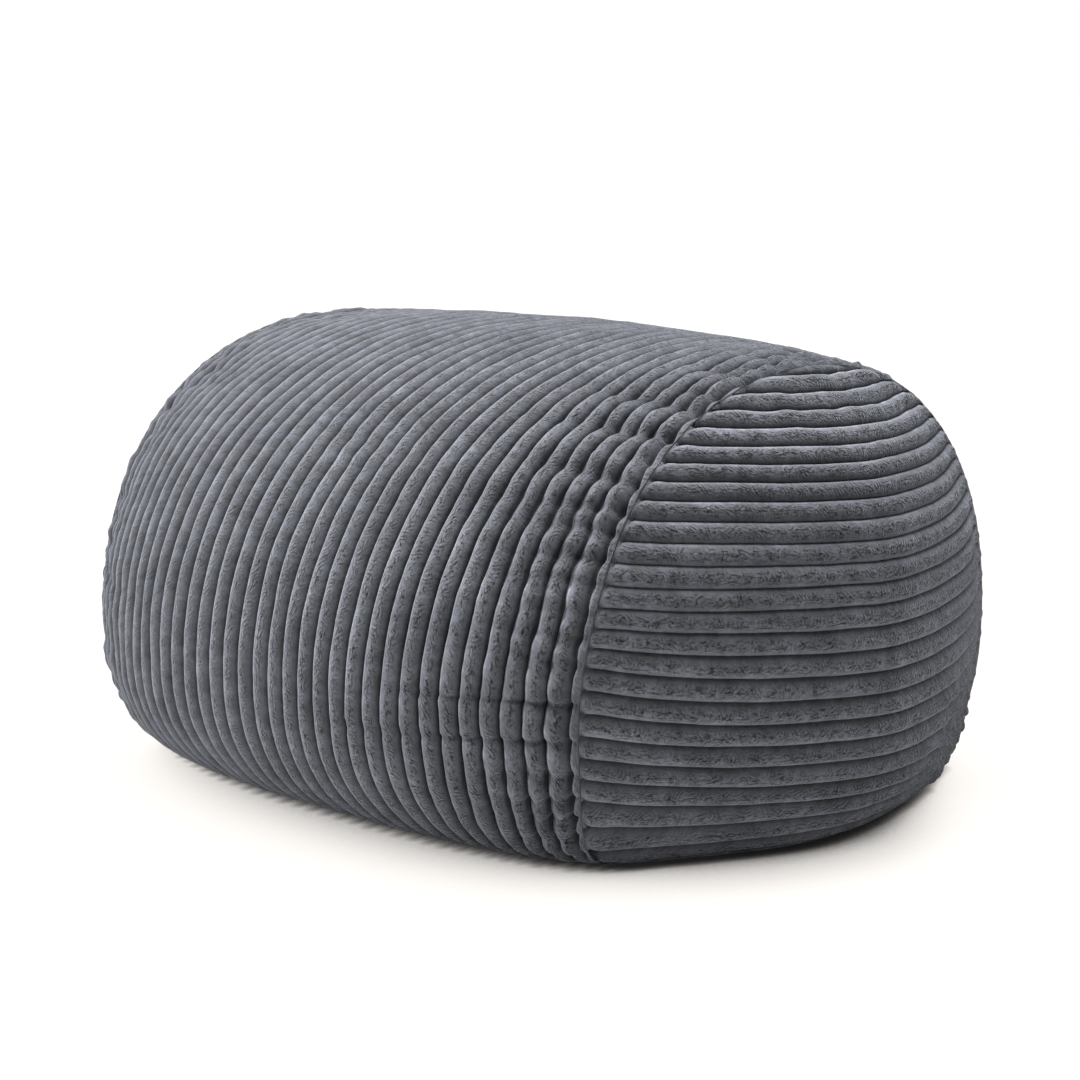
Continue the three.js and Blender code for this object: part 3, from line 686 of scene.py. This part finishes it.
# ---- plush cord ----------------------------------------------------------------------------------
def plush_material():
    mat = bpy.data.materials.new("plush_cord")
    mat.use_nodes = True
    nt = mat.node_tree
    nt.nodes.clear()
    N, L = nt.nodes, nt.links

    def node(kind, **props):
        nd = N.new(kind)
        for key, value in props.items():
            setattr(nd, key, value)
        return nd

    def math_node(op, a, b=None, c=None, clamp=False):
        nd = node("ShaderNodeMath", operation=op, use_clamp=clamp)
        for i, v in enumerate((a, b, c)):
            if v is None:
                continue
            if isinstance(v, (int, float)):
                nd.inputs[i].default_value = v
            else:
                L.new(v, nd.inputs[i])
        return nd.outputs[0]

    def ramp(v, a, b, lo=0.0, hi=1.0):
        nd = node("ShaderNodeMapRange", interpolation_type="SMOOTHSTEP")
        L.new(v, nd.inputs["Value"])
        for key, val in (("From Min", a), ("From Max", b), ("To Min", lo), ("To Max", hi)):
            nd.inputs[key].default_value = val
        return nd.outputs[0]

    def combine(x, y, z):
        nd = node("ShaderNodeCombineXYZ")
        for i, v in enumerate((x, y, z)):
            if isinstance(v, (int, float)):
                nd.inputs[i].default_value = v
            else:
                L.new(v, nd.inputs[i])
        return nd.outputs[0]

    def tex(vec, scale, detail=2.0, rough=0.5, distortion=0.0):
        nd = node("ShaderNodeTexNoise")
        L.new(vec, nd.inputs["Vector"])
        nd.inputs["Scale"].default_value = scale
        nd.inputs["Detail"].default_value = detail
        nd.inputs["Roughness"].default_value = rough
        nd.inputs["Distortion"].default_value = distortion
        return nd.outputs["Fac"]

    at = node("ShaderNodeAttribute", attribute_name="cloth")
    sep = node("ShaderNodeSeparateXYZ")
    L.new(at.outputs["Vector"], sep.inputs[0])
    wv, along, beaded = sep.outputs
    rel = node("ShaderNodeAttribute", attribute_name="relief")
    rsep = node("ShaderNodeSeparateXYZ")
    L.new(rel.outputs["Vector"], rsep.inputs[0])
    rib, pinch, tone = rsep.outputs
    lay = node("ShaderNodeAttribute", attribute_name="pile")
    lsep = node("ShaderNodeSeparateXYZ")
    L.new(lay.outputs["Vector"], lsep.inputs[0])
    marks, hush, painted_light_side = lsep.outputs

    u = math_node("FRACT", wv)
    k = math_node("FLOOR", wv)
    across = math_node("MULTIPLY", wv, PITCH)           # mm across the wales
    mm = math_node("MULTIPLY", along, 1000.0)           # mm along them
    flat = combine(across, mm, 0.0)
    soft = combine(across, math_node("MULTIPLY", mm, 0.55), 0.0)

    mottle = tex(flat, 1 / 15.0, 3.0, 0.55)
    cloud = tex(flat, 1 / 48.0, 2.5, 0.55)
    tuft = tex(soft, 1 / 2.5, 1.5, 0.5, 0.6)
    fuzz = tex(flat, 1 / 1.1, 2.0, 0.6)

    def vector(op, a, b=None):
        nd = node("ShaderNodeVectorMath", operation=op)
        for i, v in enumerate((a, b)):
            if isinstance(v, tuple):
                nd.inputs[i].default_value = v
            elif v is not None:
                L.new(v, nd.inputs[i])
        return nd.outputs["Value"] if op == "LENGTH" else nd.outputs["Vector"]

    # brushed strokes: a bundle is a cell of the cloth, its strokes arcs round a place near it
    turn = node("ShaderNodeTexNoise")
    L.new(flat, turn.inputs["Vector"])
    turn.inputs["Scale"].default_value = 1 / 13.0
    turn.inputs["Detail"].default_value = 1.5
    wavy = vector("ADD", flat, vector("MULTIPLY", turn.outputs["Color"], (STROKE_SWIRL, STROKE_SWIRL, 0.0)))
    cell = node("ShaderNodeTexVoronoi", voronoi_dimensions="2D")
    L.new(wavy, cell.inputs["Vector"])
    cell.inputs["Scale"].default_value = 1 / BUNDLE
    away = vector("MULTIPLY", vector("SUBTRACT", cell.outputs["Color"], (0.5, 0.5, 0.5)), (STROKE_CURVE, STROKE_CURVE, 0.0))
    radius = vector("LENGTH", vector("SUBTRACT", wavy, vector("ADD", cell.outputs["Position"], away)))
    lines = math_node("SINE", math_node("MULTIPLY", radius, 2 * math.pi / STROKE_PITCH))
    csep = node("ShaderNodeSeparateXYZ")
    L.new(cell.outputs["Color"], csep.inputs[0])
    parts = math_node("MULTIPLY", ramp(tex(flat, 1 / 5.5, 1.5, 0.5), 0.32, 0.47), ramp(csep.outputs[2], 0.05, 0.45, 0.35, 1.0))

    # marks lie on the crown; a ragged parting runs along it
    wide = math_node("MULTIPLY", ramp(u, 0.12, 0.34), ramp(u, 0.94, 0.70))
    narrow = math_node("MULTIPLY", ramp(u, 0.18, 0.40), ramp(u, 0.88, 0.64))
    on_body = ramp(hush, 0.52, 0.6)
    crown = math_node("ADD", math_node("MULTIPLY", narrow, on_body), math_node("MULTIPLY", wide, math_node("SUBTRACT", 1.0, on_body)))
    patch = math_node("MULTIPLY", ramp(mottle, 0.32, 0.52, 0.5, 1.0), marks)
    stray = math_node("MULTIPLY_ADD", tex(combine(k, math_node("DIVIDE", mm, 7.0), 0.0), 1.0, 2.0, 0.5), 0.5, 0.29)
    off = math_node("ABSOLUTE", math_node("SUBTRACT", u, stray))
    parting = math_node("MULTIPLY", ramp(off, 0.10, 0.0), math_node("MULTIPLY", ramp(tex(flat, 1 / 4.0, 1.0), 0.42, 0.56), patch))
    nick = math_node("MULTIPLY", ramp(tuft, 0.54, 0.63), math_node("MULTIPLY", ramp(off, 0.26, 0.10), patch))
    short = ramp(tex(flat, 1 / 3.4, 1.0, 0.5), 0.46, 0.58, 0.4, 1.0)
    bundle = math_node("MULTIPLY", math_node("MULTIPLY", parts, patch), math_node("MULTIPLY", crown, short))
    stroke = math_node("MULTIPLY", math_node("MULTIPLY_ADD", lines, 0.5, 0.28), bundle)
    gleam = math_node("MULTIPLY", ramp(tex(soft, 1 / 3.1, 2.0, 0.5, 0.8), 0.57, 0.68), math_node("MULTIPLY", ramp(off, 0.32, 0.12), patch))

    # the ends are brushed along their wales too
    dash = ramp(tex(combine(across, math_node("MULTIPLY", mm, 0.24), 0.0), 1 / 2.3, 1.5, 0.5, 0.3), 0.53, 0.63)
    dash = math_node("MULTIPLY", dash, math_node("MULTIPLY", ramp(u, 0.25, 0.42), ramp(u, 0.92, 0.74)))
    dash = math_node("MULTIPLY", dash, math_node("MULTIPLY", patch, math_node("SUBTRACT", 1.0, on_body)))

    height = math_node("MULTIPLY", nick, -1.1)
    height = math_node("ADD", height, math_node("MULTIPLY", dash, -0.9))
    height = math_node("ADD", height, math_node("MULTIPLY", parting, -0.7))
    height = math_node("ADD", height, math_node("MULTIPLY", math_node("MULTIPLY", lines, bundle), -0.72))
    height = math_node("ADD", height, math_node("MULTIPLY", tuft, 0.7))
    knap = tex(flat, 1 / 6.5, 2.0, 0.55)
    height = math_node("ADD", height, math_node("MULTIPLY", knap, 1.3))
    height = math_node("ADD", height, math_node("MULTIPLY", mottle, 1.6))
    height = math_node("ADD", height, math_node("MULTIPLY", fuzz, 0.32))
    bead = tex(combine(math_node("MULTIPLY", across, 0.4), mm, 0.0), 1 / 3.2, 0.5)
    height = math_node("ADD", height, math_node("MULTIPLY", math_node("MULTIPLY", bead, beaded), 3.0))
    bump = node("ShaderNodeBump")
    bump.inputs["Strength"].default_value = 1.0
    bump.inputs["Distance"].default_value = 0.001
    L.new(height, bump.inputs["Height"])

    # value of the colour: 1 on a clean flank, darkened by painted shade down into each groove
    far_side = math_node("MAXIMUM", ramp(u, 0.4, 0.6), math_node("SUBTRACT", 1.0, on_body))
    near_foot = math_node("MULTIPLY", math_node("SUBTRACT", 1.0, ramp(rib, 0.0, 0.34)), math_node("SUBTRACT", 1.0, far_side))
    foot = math_node("MULTIPLY_ADD", math_node("SUBTRACT", 1.0, ramp(rib, 0.0, 0.70)), far_side, near_foot)
    value = math_node("SUBTRACT", 1.0, math_node("MULTIPLY", math_node("MULTIPLY", foot, hush), 0.7))
    # painted light and shade of each wale: a painted highlight on its near edge and painted shade down its far side,
    # and low on the ends painted shade over its upper part instead
    down = math_node("MAXIMUM", painted_light_side, 0.0)
    up = math_node("MAXIMUM", math_node("MULTIPLY", painted_light_side, -1.0), 0.0)
    edge = math_node("MULTIPLY", ramp(u, 0.02, 0.06), ramp(u, 0.21, 0.09))
    edge = math_node("MULTIPLY", edge, ramp(knap, 0.32, 0.62, 0.55, 1.2))
    value = math_node("MULTIPLY", value, math_node("MULTIPLY_ADD", math_node("MULTIPLY", edge, down), 0.75, 1.0))
    value = math_node("MULTIPLY", value, math_node("SUBTRACT", 1.0, math_node("MULTIPLY", ramp(u, 0.24, 0.90, 0.0, 0.5), down)))
    value = math_node("MULTIPLY", value, math_node("SUBTRACT", 1.0, math_node("MULTIPLY", ramp(u, 0.72, 0.08, 0.0, 0.55), up)))
    # painted shade: a thin dark line along each groove of the body
    groove_shade = math_node("MAXIMUM", ramp(u, 0.03, 0.0), ramp(u, 0.945, 0.99))
    value = math_node("MULTIPLY", value, math_node("SUBTRACT", 1.0, math_node("MULTIPLY", math_node("MULTIPLY", groove_shade, on_body), 0.45)))
    value = math_node("MULTIPLY", value, ramp(cloud, 0.3, 0.7, 0.85, 1.13))
    value = math_node("MULTIPLY", value, ramp(mottle, 0.3, 0.7, 1.15, 0.85))
    value = math_node("MULTIPLY", value, ramp(tone, 0.0, 1.0, 0.93, 1.07))
    value = math_node("MULTIPLY", value, ramp(knap, 0.3, 0.7, 0.90, 1.10))
    value = math_node("MULTIPLY", value, math_node("SUBTRACT", 1.0, math_node("MULTIPLY", nick, 0.68)))
    value = math_node("MULTIPLY", value, math_node("SUBTRACT", 1.0, math_node("MULTIPLY", parting, 0.45)))
    value = math_node("MULTIPLY", value, math_node("SUBTRACT", 1.0, math_node("MULTIPLY", dash, 0.4)))
    value = math_node("MULTIPLY", value, math_node("SUBTRACT", 1.0, math_node("MULTIPLY", stroke, 0.66)))
    value = math_node("MULTIPLY", value, math_node("MULTIPLY_ADD", gleam, 0.35, 1.0))
    # painted shade: the cut wale down in the seam is darker
    value = math_node("MULTIPLY", value, math_node("MULTIPLY_ADD", beaded, -0.26, 1.0))
    # painted shade from the relief's second channel: in gathers and creases, by the seams, low down and half way up
    value = math_node("MULTIPLY", value, math_node("SUBTRACT", 1.0, math_node("MULTIPLY", pinch, 0.4)))
    mix = node("ShaderNodeMix", data_type="RGBA")
    mix.inputs["Factor"].default_value = 0.5
    L.new(ramp(mottle, 0.35, 0.65), mix.inputs["Factor"])
    mix.inputs["A"].default_value = (0.128, 0.134, 0.155, 1)
    mix.inputs["B"].default_value = (0.130, 0.133, 0.145, 1)
    scale = node("ShaderNodeVectorMath", operation="SCALE")
    L.new(mix.outputs["Result"], scale.inputs[0])
    L.new(value, scale.inputs["Scale"])

    bsdf = node("ShaderNodeBsdfPrincipled")
    L.new(scale.outputs[0], bsdf.inputs["Base Color"])
    L.new(bump.outputs[0], bsdf.inputs["Normal"])
    bsdf.inputs["Roughness"].default_value = 0.92
    bsdf.inputs["Specular IOR Level"].default_value = 0.12
    bsdf.inputs["Sheen Weight"].default_value = 0.3
    bsdf.inputs["Sheen Roughness"].default_value = 0.42
    bsdf.inputs["Sheen Tint"].default_value = (0.78, 0.83, 0.95, 1)
    out = node("ShaderNodeOutputMaterial")
    L.new(bsdf.outputs[0], out.inputs["Surface"])
    return mat


plush = plush_material()
for piece, stands_for in ((body, "body_panel"), (cap_right, "end_panel_right"), (cap_left, "end_panel_left")):
    piece.data.materials.append(plush)
    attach(piece, "root")
    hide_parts(stands_for)


# ---- floor, light, camera ----------------------------------------------------------------------
FLOOR_BOUNCE = 0.74
WORLD_LIGHT = 0.15
SHADOW_REACH = 0.13
SHADOW_TILT = (-0.46, 0.22, 0.860)
# how open a place on the floor is, and how bright its glow shows: the painted shadow
SHADOW_CURVE = ((0.05, 0.06), (0.09, 0.24), (0.124, 0.40), (0.143, 0.50), (0.178, 0.58), (0.22, 0.65),
                (0.258, 0.71), (0.313, 0.775), (0.372, 0.84), (0.446, 0.89), (0.55, 0.935), (0.70, 0.97))


def floor_material():
    """White sweep. The camera sees it as an even glow, with only a contact shadow painted from how open each place is;
    its bounce on to the part is kept low."""
    mat = bpy.data.materials.new("studio_floor")
    mat.use_nodes = True
    nt = mat.node_tree
    N, L = nt.nodes, nt.links
    bsdf = N["Principled BSDF"]
    bsdf.inputs["Base Color"].default_value = (FLOOR_BOUNCE, FLOOR_BOUNCE * 0.99, FLOOR_BOUNCE * 0.97, 1)
    bsdf.inputs["Roughness"].default_value = 1.0
    bsdf.inputs["Specular IOR Level"].default_value = 0.0
    near = N.new("ShaderNodeAmbientOcclusion")
    near.samples = 16
    near.inputs["Distance"].default_value = SHADOW_REACH
    # the painted shadow is deeper in front of the part, as if the sweep were lit from behind
    tilt = N.new("ShaderNodeCombineXYZ")
    for axis, v in zip("XYZ", SHADOW_TILT):
        tilt.inputs[axis].default_value = v
    L.new(tilt.outputs[0], near.inputs["Normal"])
    level = N.new("ShaderNodeFloatCurve")
    curve = level.mapping.curves[0]
    curve.points[0].location, curve.points[1].location = (0, 0.01), (1, 1.0)
    for at, value in SHADOW_CURVE:
        curve.points.new(at, value)
    for point in curve.points:
        point.handle_type = "VECTOR"
    level.mapping.update()
    # the painted shadow is also deeper beside the right end, away from the light at the left
    here = N.new("ShaderNodeNewGeometry")
    across = N.new("ShaderNodeVectorMath")
    across.operation = "DOT_PRODUCT"
    across.inputs[1].default_value = (0.737, 0.675, 0.0)
    L.new(here.outputs["Position"], across.inputs[0])
    steps = []
    for first, last, low, high in ((0.02, 0.30, 0.0, 0.65), (0.31, 0.42, 1.0, 0.0)):
        step = N.new("ShaderNodeMapRange")
        step.interpolation_type = "SMOOTHSTEP"
        for key, val in (("From Min", first), ("From Max", last), ("To Min", low), ("To Max", high)):
            step.inputs[key].default_value = val
        L.new(across.outputs["Value"], step.inputs["Value"])
        steps.append(step)
    depth = N.new("ShaderNodeMath")
    depth.operation = "MULTIPLY_ADD"
    L.new(steps[0].outputs["Result"], depth.inputs[0])
    L.new(steps[1].outputs["Result"], depth.inputs[1])
    depth.inputs[2].default_value = 1.0
    deeper = N.new("ShaderNodeMath")
    deeper.operation = "POWER"
    L.new(near.outputs["AO"], deeper.inputs[0])
    L.new(depth.outputs[0], deeper.inputs[1])
    L.new(deeper.outputs[0], level.inputs["Value"])
    gain = N.new("ShaderNodeMath")
    gain.operation = "MULTIPLY"
    gain.inputs[1].default_value = 1.12
    L.new(level.outputs[0], gain.inputs[0])
    # and a painted thin dark line where it stands
    touch = N.new("ShaderNodeAmbientOcclusion")
    touch.samples = 8
    touch.inputs["Distance"].default_value = 0.0105
    gap = N.new("ShaderNodeMapRange")
    for key, val in (("From Min", 0.36), ("From Max", 0.95), ("To Max", 1.0)):
        gap.inputs[key].default_value = val
    darkest = N.new("ShaderNodeMath")
    darkest.operation = "MULTIPLY_ADD"
    L.new(steps[0].outputs["Result"], darkest.inputs[0])
    darkest.inputs[1].default_value = 0.35
    darkest.inputs[2].default_value = 0.06
    L.new(darkest.outputs[0], gap.inputs["To Min"])
    L.new(touch.outputs["AO"], gap.inputs["Value"])
    both = N.new("ShaderNodeMath")
    both.operation = "MULTIPLY"
    L.new(gain.outputs[0], both.inputs[0])
    L.new(gap.outputs[0], both.inputs[1])
    glow = N.new("ShaderNodeEmission")
    glow.inputs["Color"].default_value = (1.0, 0.968, 0.935, 1)
    L.new(both.outputs[0], glow.inputs["Strength"])
    path = N.new("ShaderNodeLightPath")
    mix = N.new("ShaderNodeMixShader")
    L.new(path.outputs["Is Camera Ray"], mix.inputs[0])
    L.new(bsdf.outputs[0], mix.inputs[1])
    L.new(glow.outputs[0], mix.inputs[2])
    L.new(mix.outputs[0], N["Material Output"].inputs["Surface"])
    return mat


me = bpy.data.meshes.new("studio_floor")
S = 14.0
me.from_pydata([(-S, -S, 0), (S, -S, 0), (S, S, 0), (-S, S, 0)], [], [(0, 1, 2, 3)])
floor = bpy.data.objects.new("studio_floor", me)
floor.location.z = -0.0004
bpy.context.scene.collection.objects.link(floor)
me.materials.append(floor_material())

AZIMUTH, ELEVATION, DISTANCE = 0.741, 0.198, 2.5083
back = Vector((math.sin(AZIMUTH) * math.cos(ELEVATION), -math.cos(AZIMUTH) * math.cos(ELEVATION), math.sin(ELEVATION)))
right = Vector((math.cos(AZIMUTH), math.sin(AZIMUTH), 0))
target = Vector((-0.0025, 0, 0.225))

world = bpy.data.worlds.new("studio")
bpy.context.scene.world = world
world.use_nodes = True
backdrop = world.node_tree.nodes["Background"]
backdrop.inputs["Color"].default_value = (1, 1, 1, 1)
ray = world.node_tree.nodes.new("ShaderNodeLightPath")
level = world.node_tree.nodes.new("ShaderNodeMapRange")
level.inputs["To Min"].default_value = WORLD_LIGHT
level.inputs["To Max"].default_value = 1.0
world.node_tree.links.new(ray.outputs["Is Camera Ray"], level.inputs["Value"])
world.node_tree.links.new(level.outputs[0], backdrop.inputs["Strength"])


def area(name, at, aim, size, energy, colour=(1, 1, 1)):
    data = bpy.data.lights.new(name, "AREA")
    data.shape, data.size, data.size_y = "RECTANGLE", size[0], size[1]
    data.energy, data.color = energy, colour
    ob = bpy.data.objects.new(name, data)
    ob.location = at
    ob.rotation_euler = (Vector(aim) - Vector(at)).to_track_quat("-Z", "Y").to_euler()
    bpy.context.scene.collection.objects.link(ob)
    return ob


area("overhead", target - right * 0.2 + back * 0.2 + Vector((0, 0, 2.4)), target, (1.9, 1.9), 160)
area("left_back", target - right * 2.0 - back * 0.6 + Vector((0, 0, 1.6)), target, (1.2, 1.2), 44)
area("right_back", target + right * 2.1 - back * 0.9 + Vector((0, 0, 1.0)), target, (1.2, 1.2), 13)
area("front_fill", target - right * 2.2 + back * 2.0 + Vector((0, 0, 0.15)), target, (1.6, 1.6), 25)

cam_data = bpy.data.cameras.new("camera")
cam_data.sensor_width = 36.0
cam_data.lens = 2468.36 / 1080 * 36
cam_data.shift_x = (540 - 533.06) / 1080
cam_data.shift_y = (536.20 - 540) / 1080
cam_data.clip_start, cam_data.clip_end = 0.05, 60
cam_data.dof.use_dof = False
camera = bpy.data.objects.new("camera", cam_data)
camera.location = target + back * DISTANCE
camera.rotation_mode = "QUATERNION"
camera.rotation_quaternion = (-back).to_track_quat("-Z", "Y")
bpy.context.scene.collection.objects.link(camera)
bpy.context.scene.camera = camera

view = bpy.context.scene.view_settings
view.view_transform = "Standard"
view.look = "None"
view.exposure = 0.0
view.gamma = 1.0

bpy.context.view_layer.update()
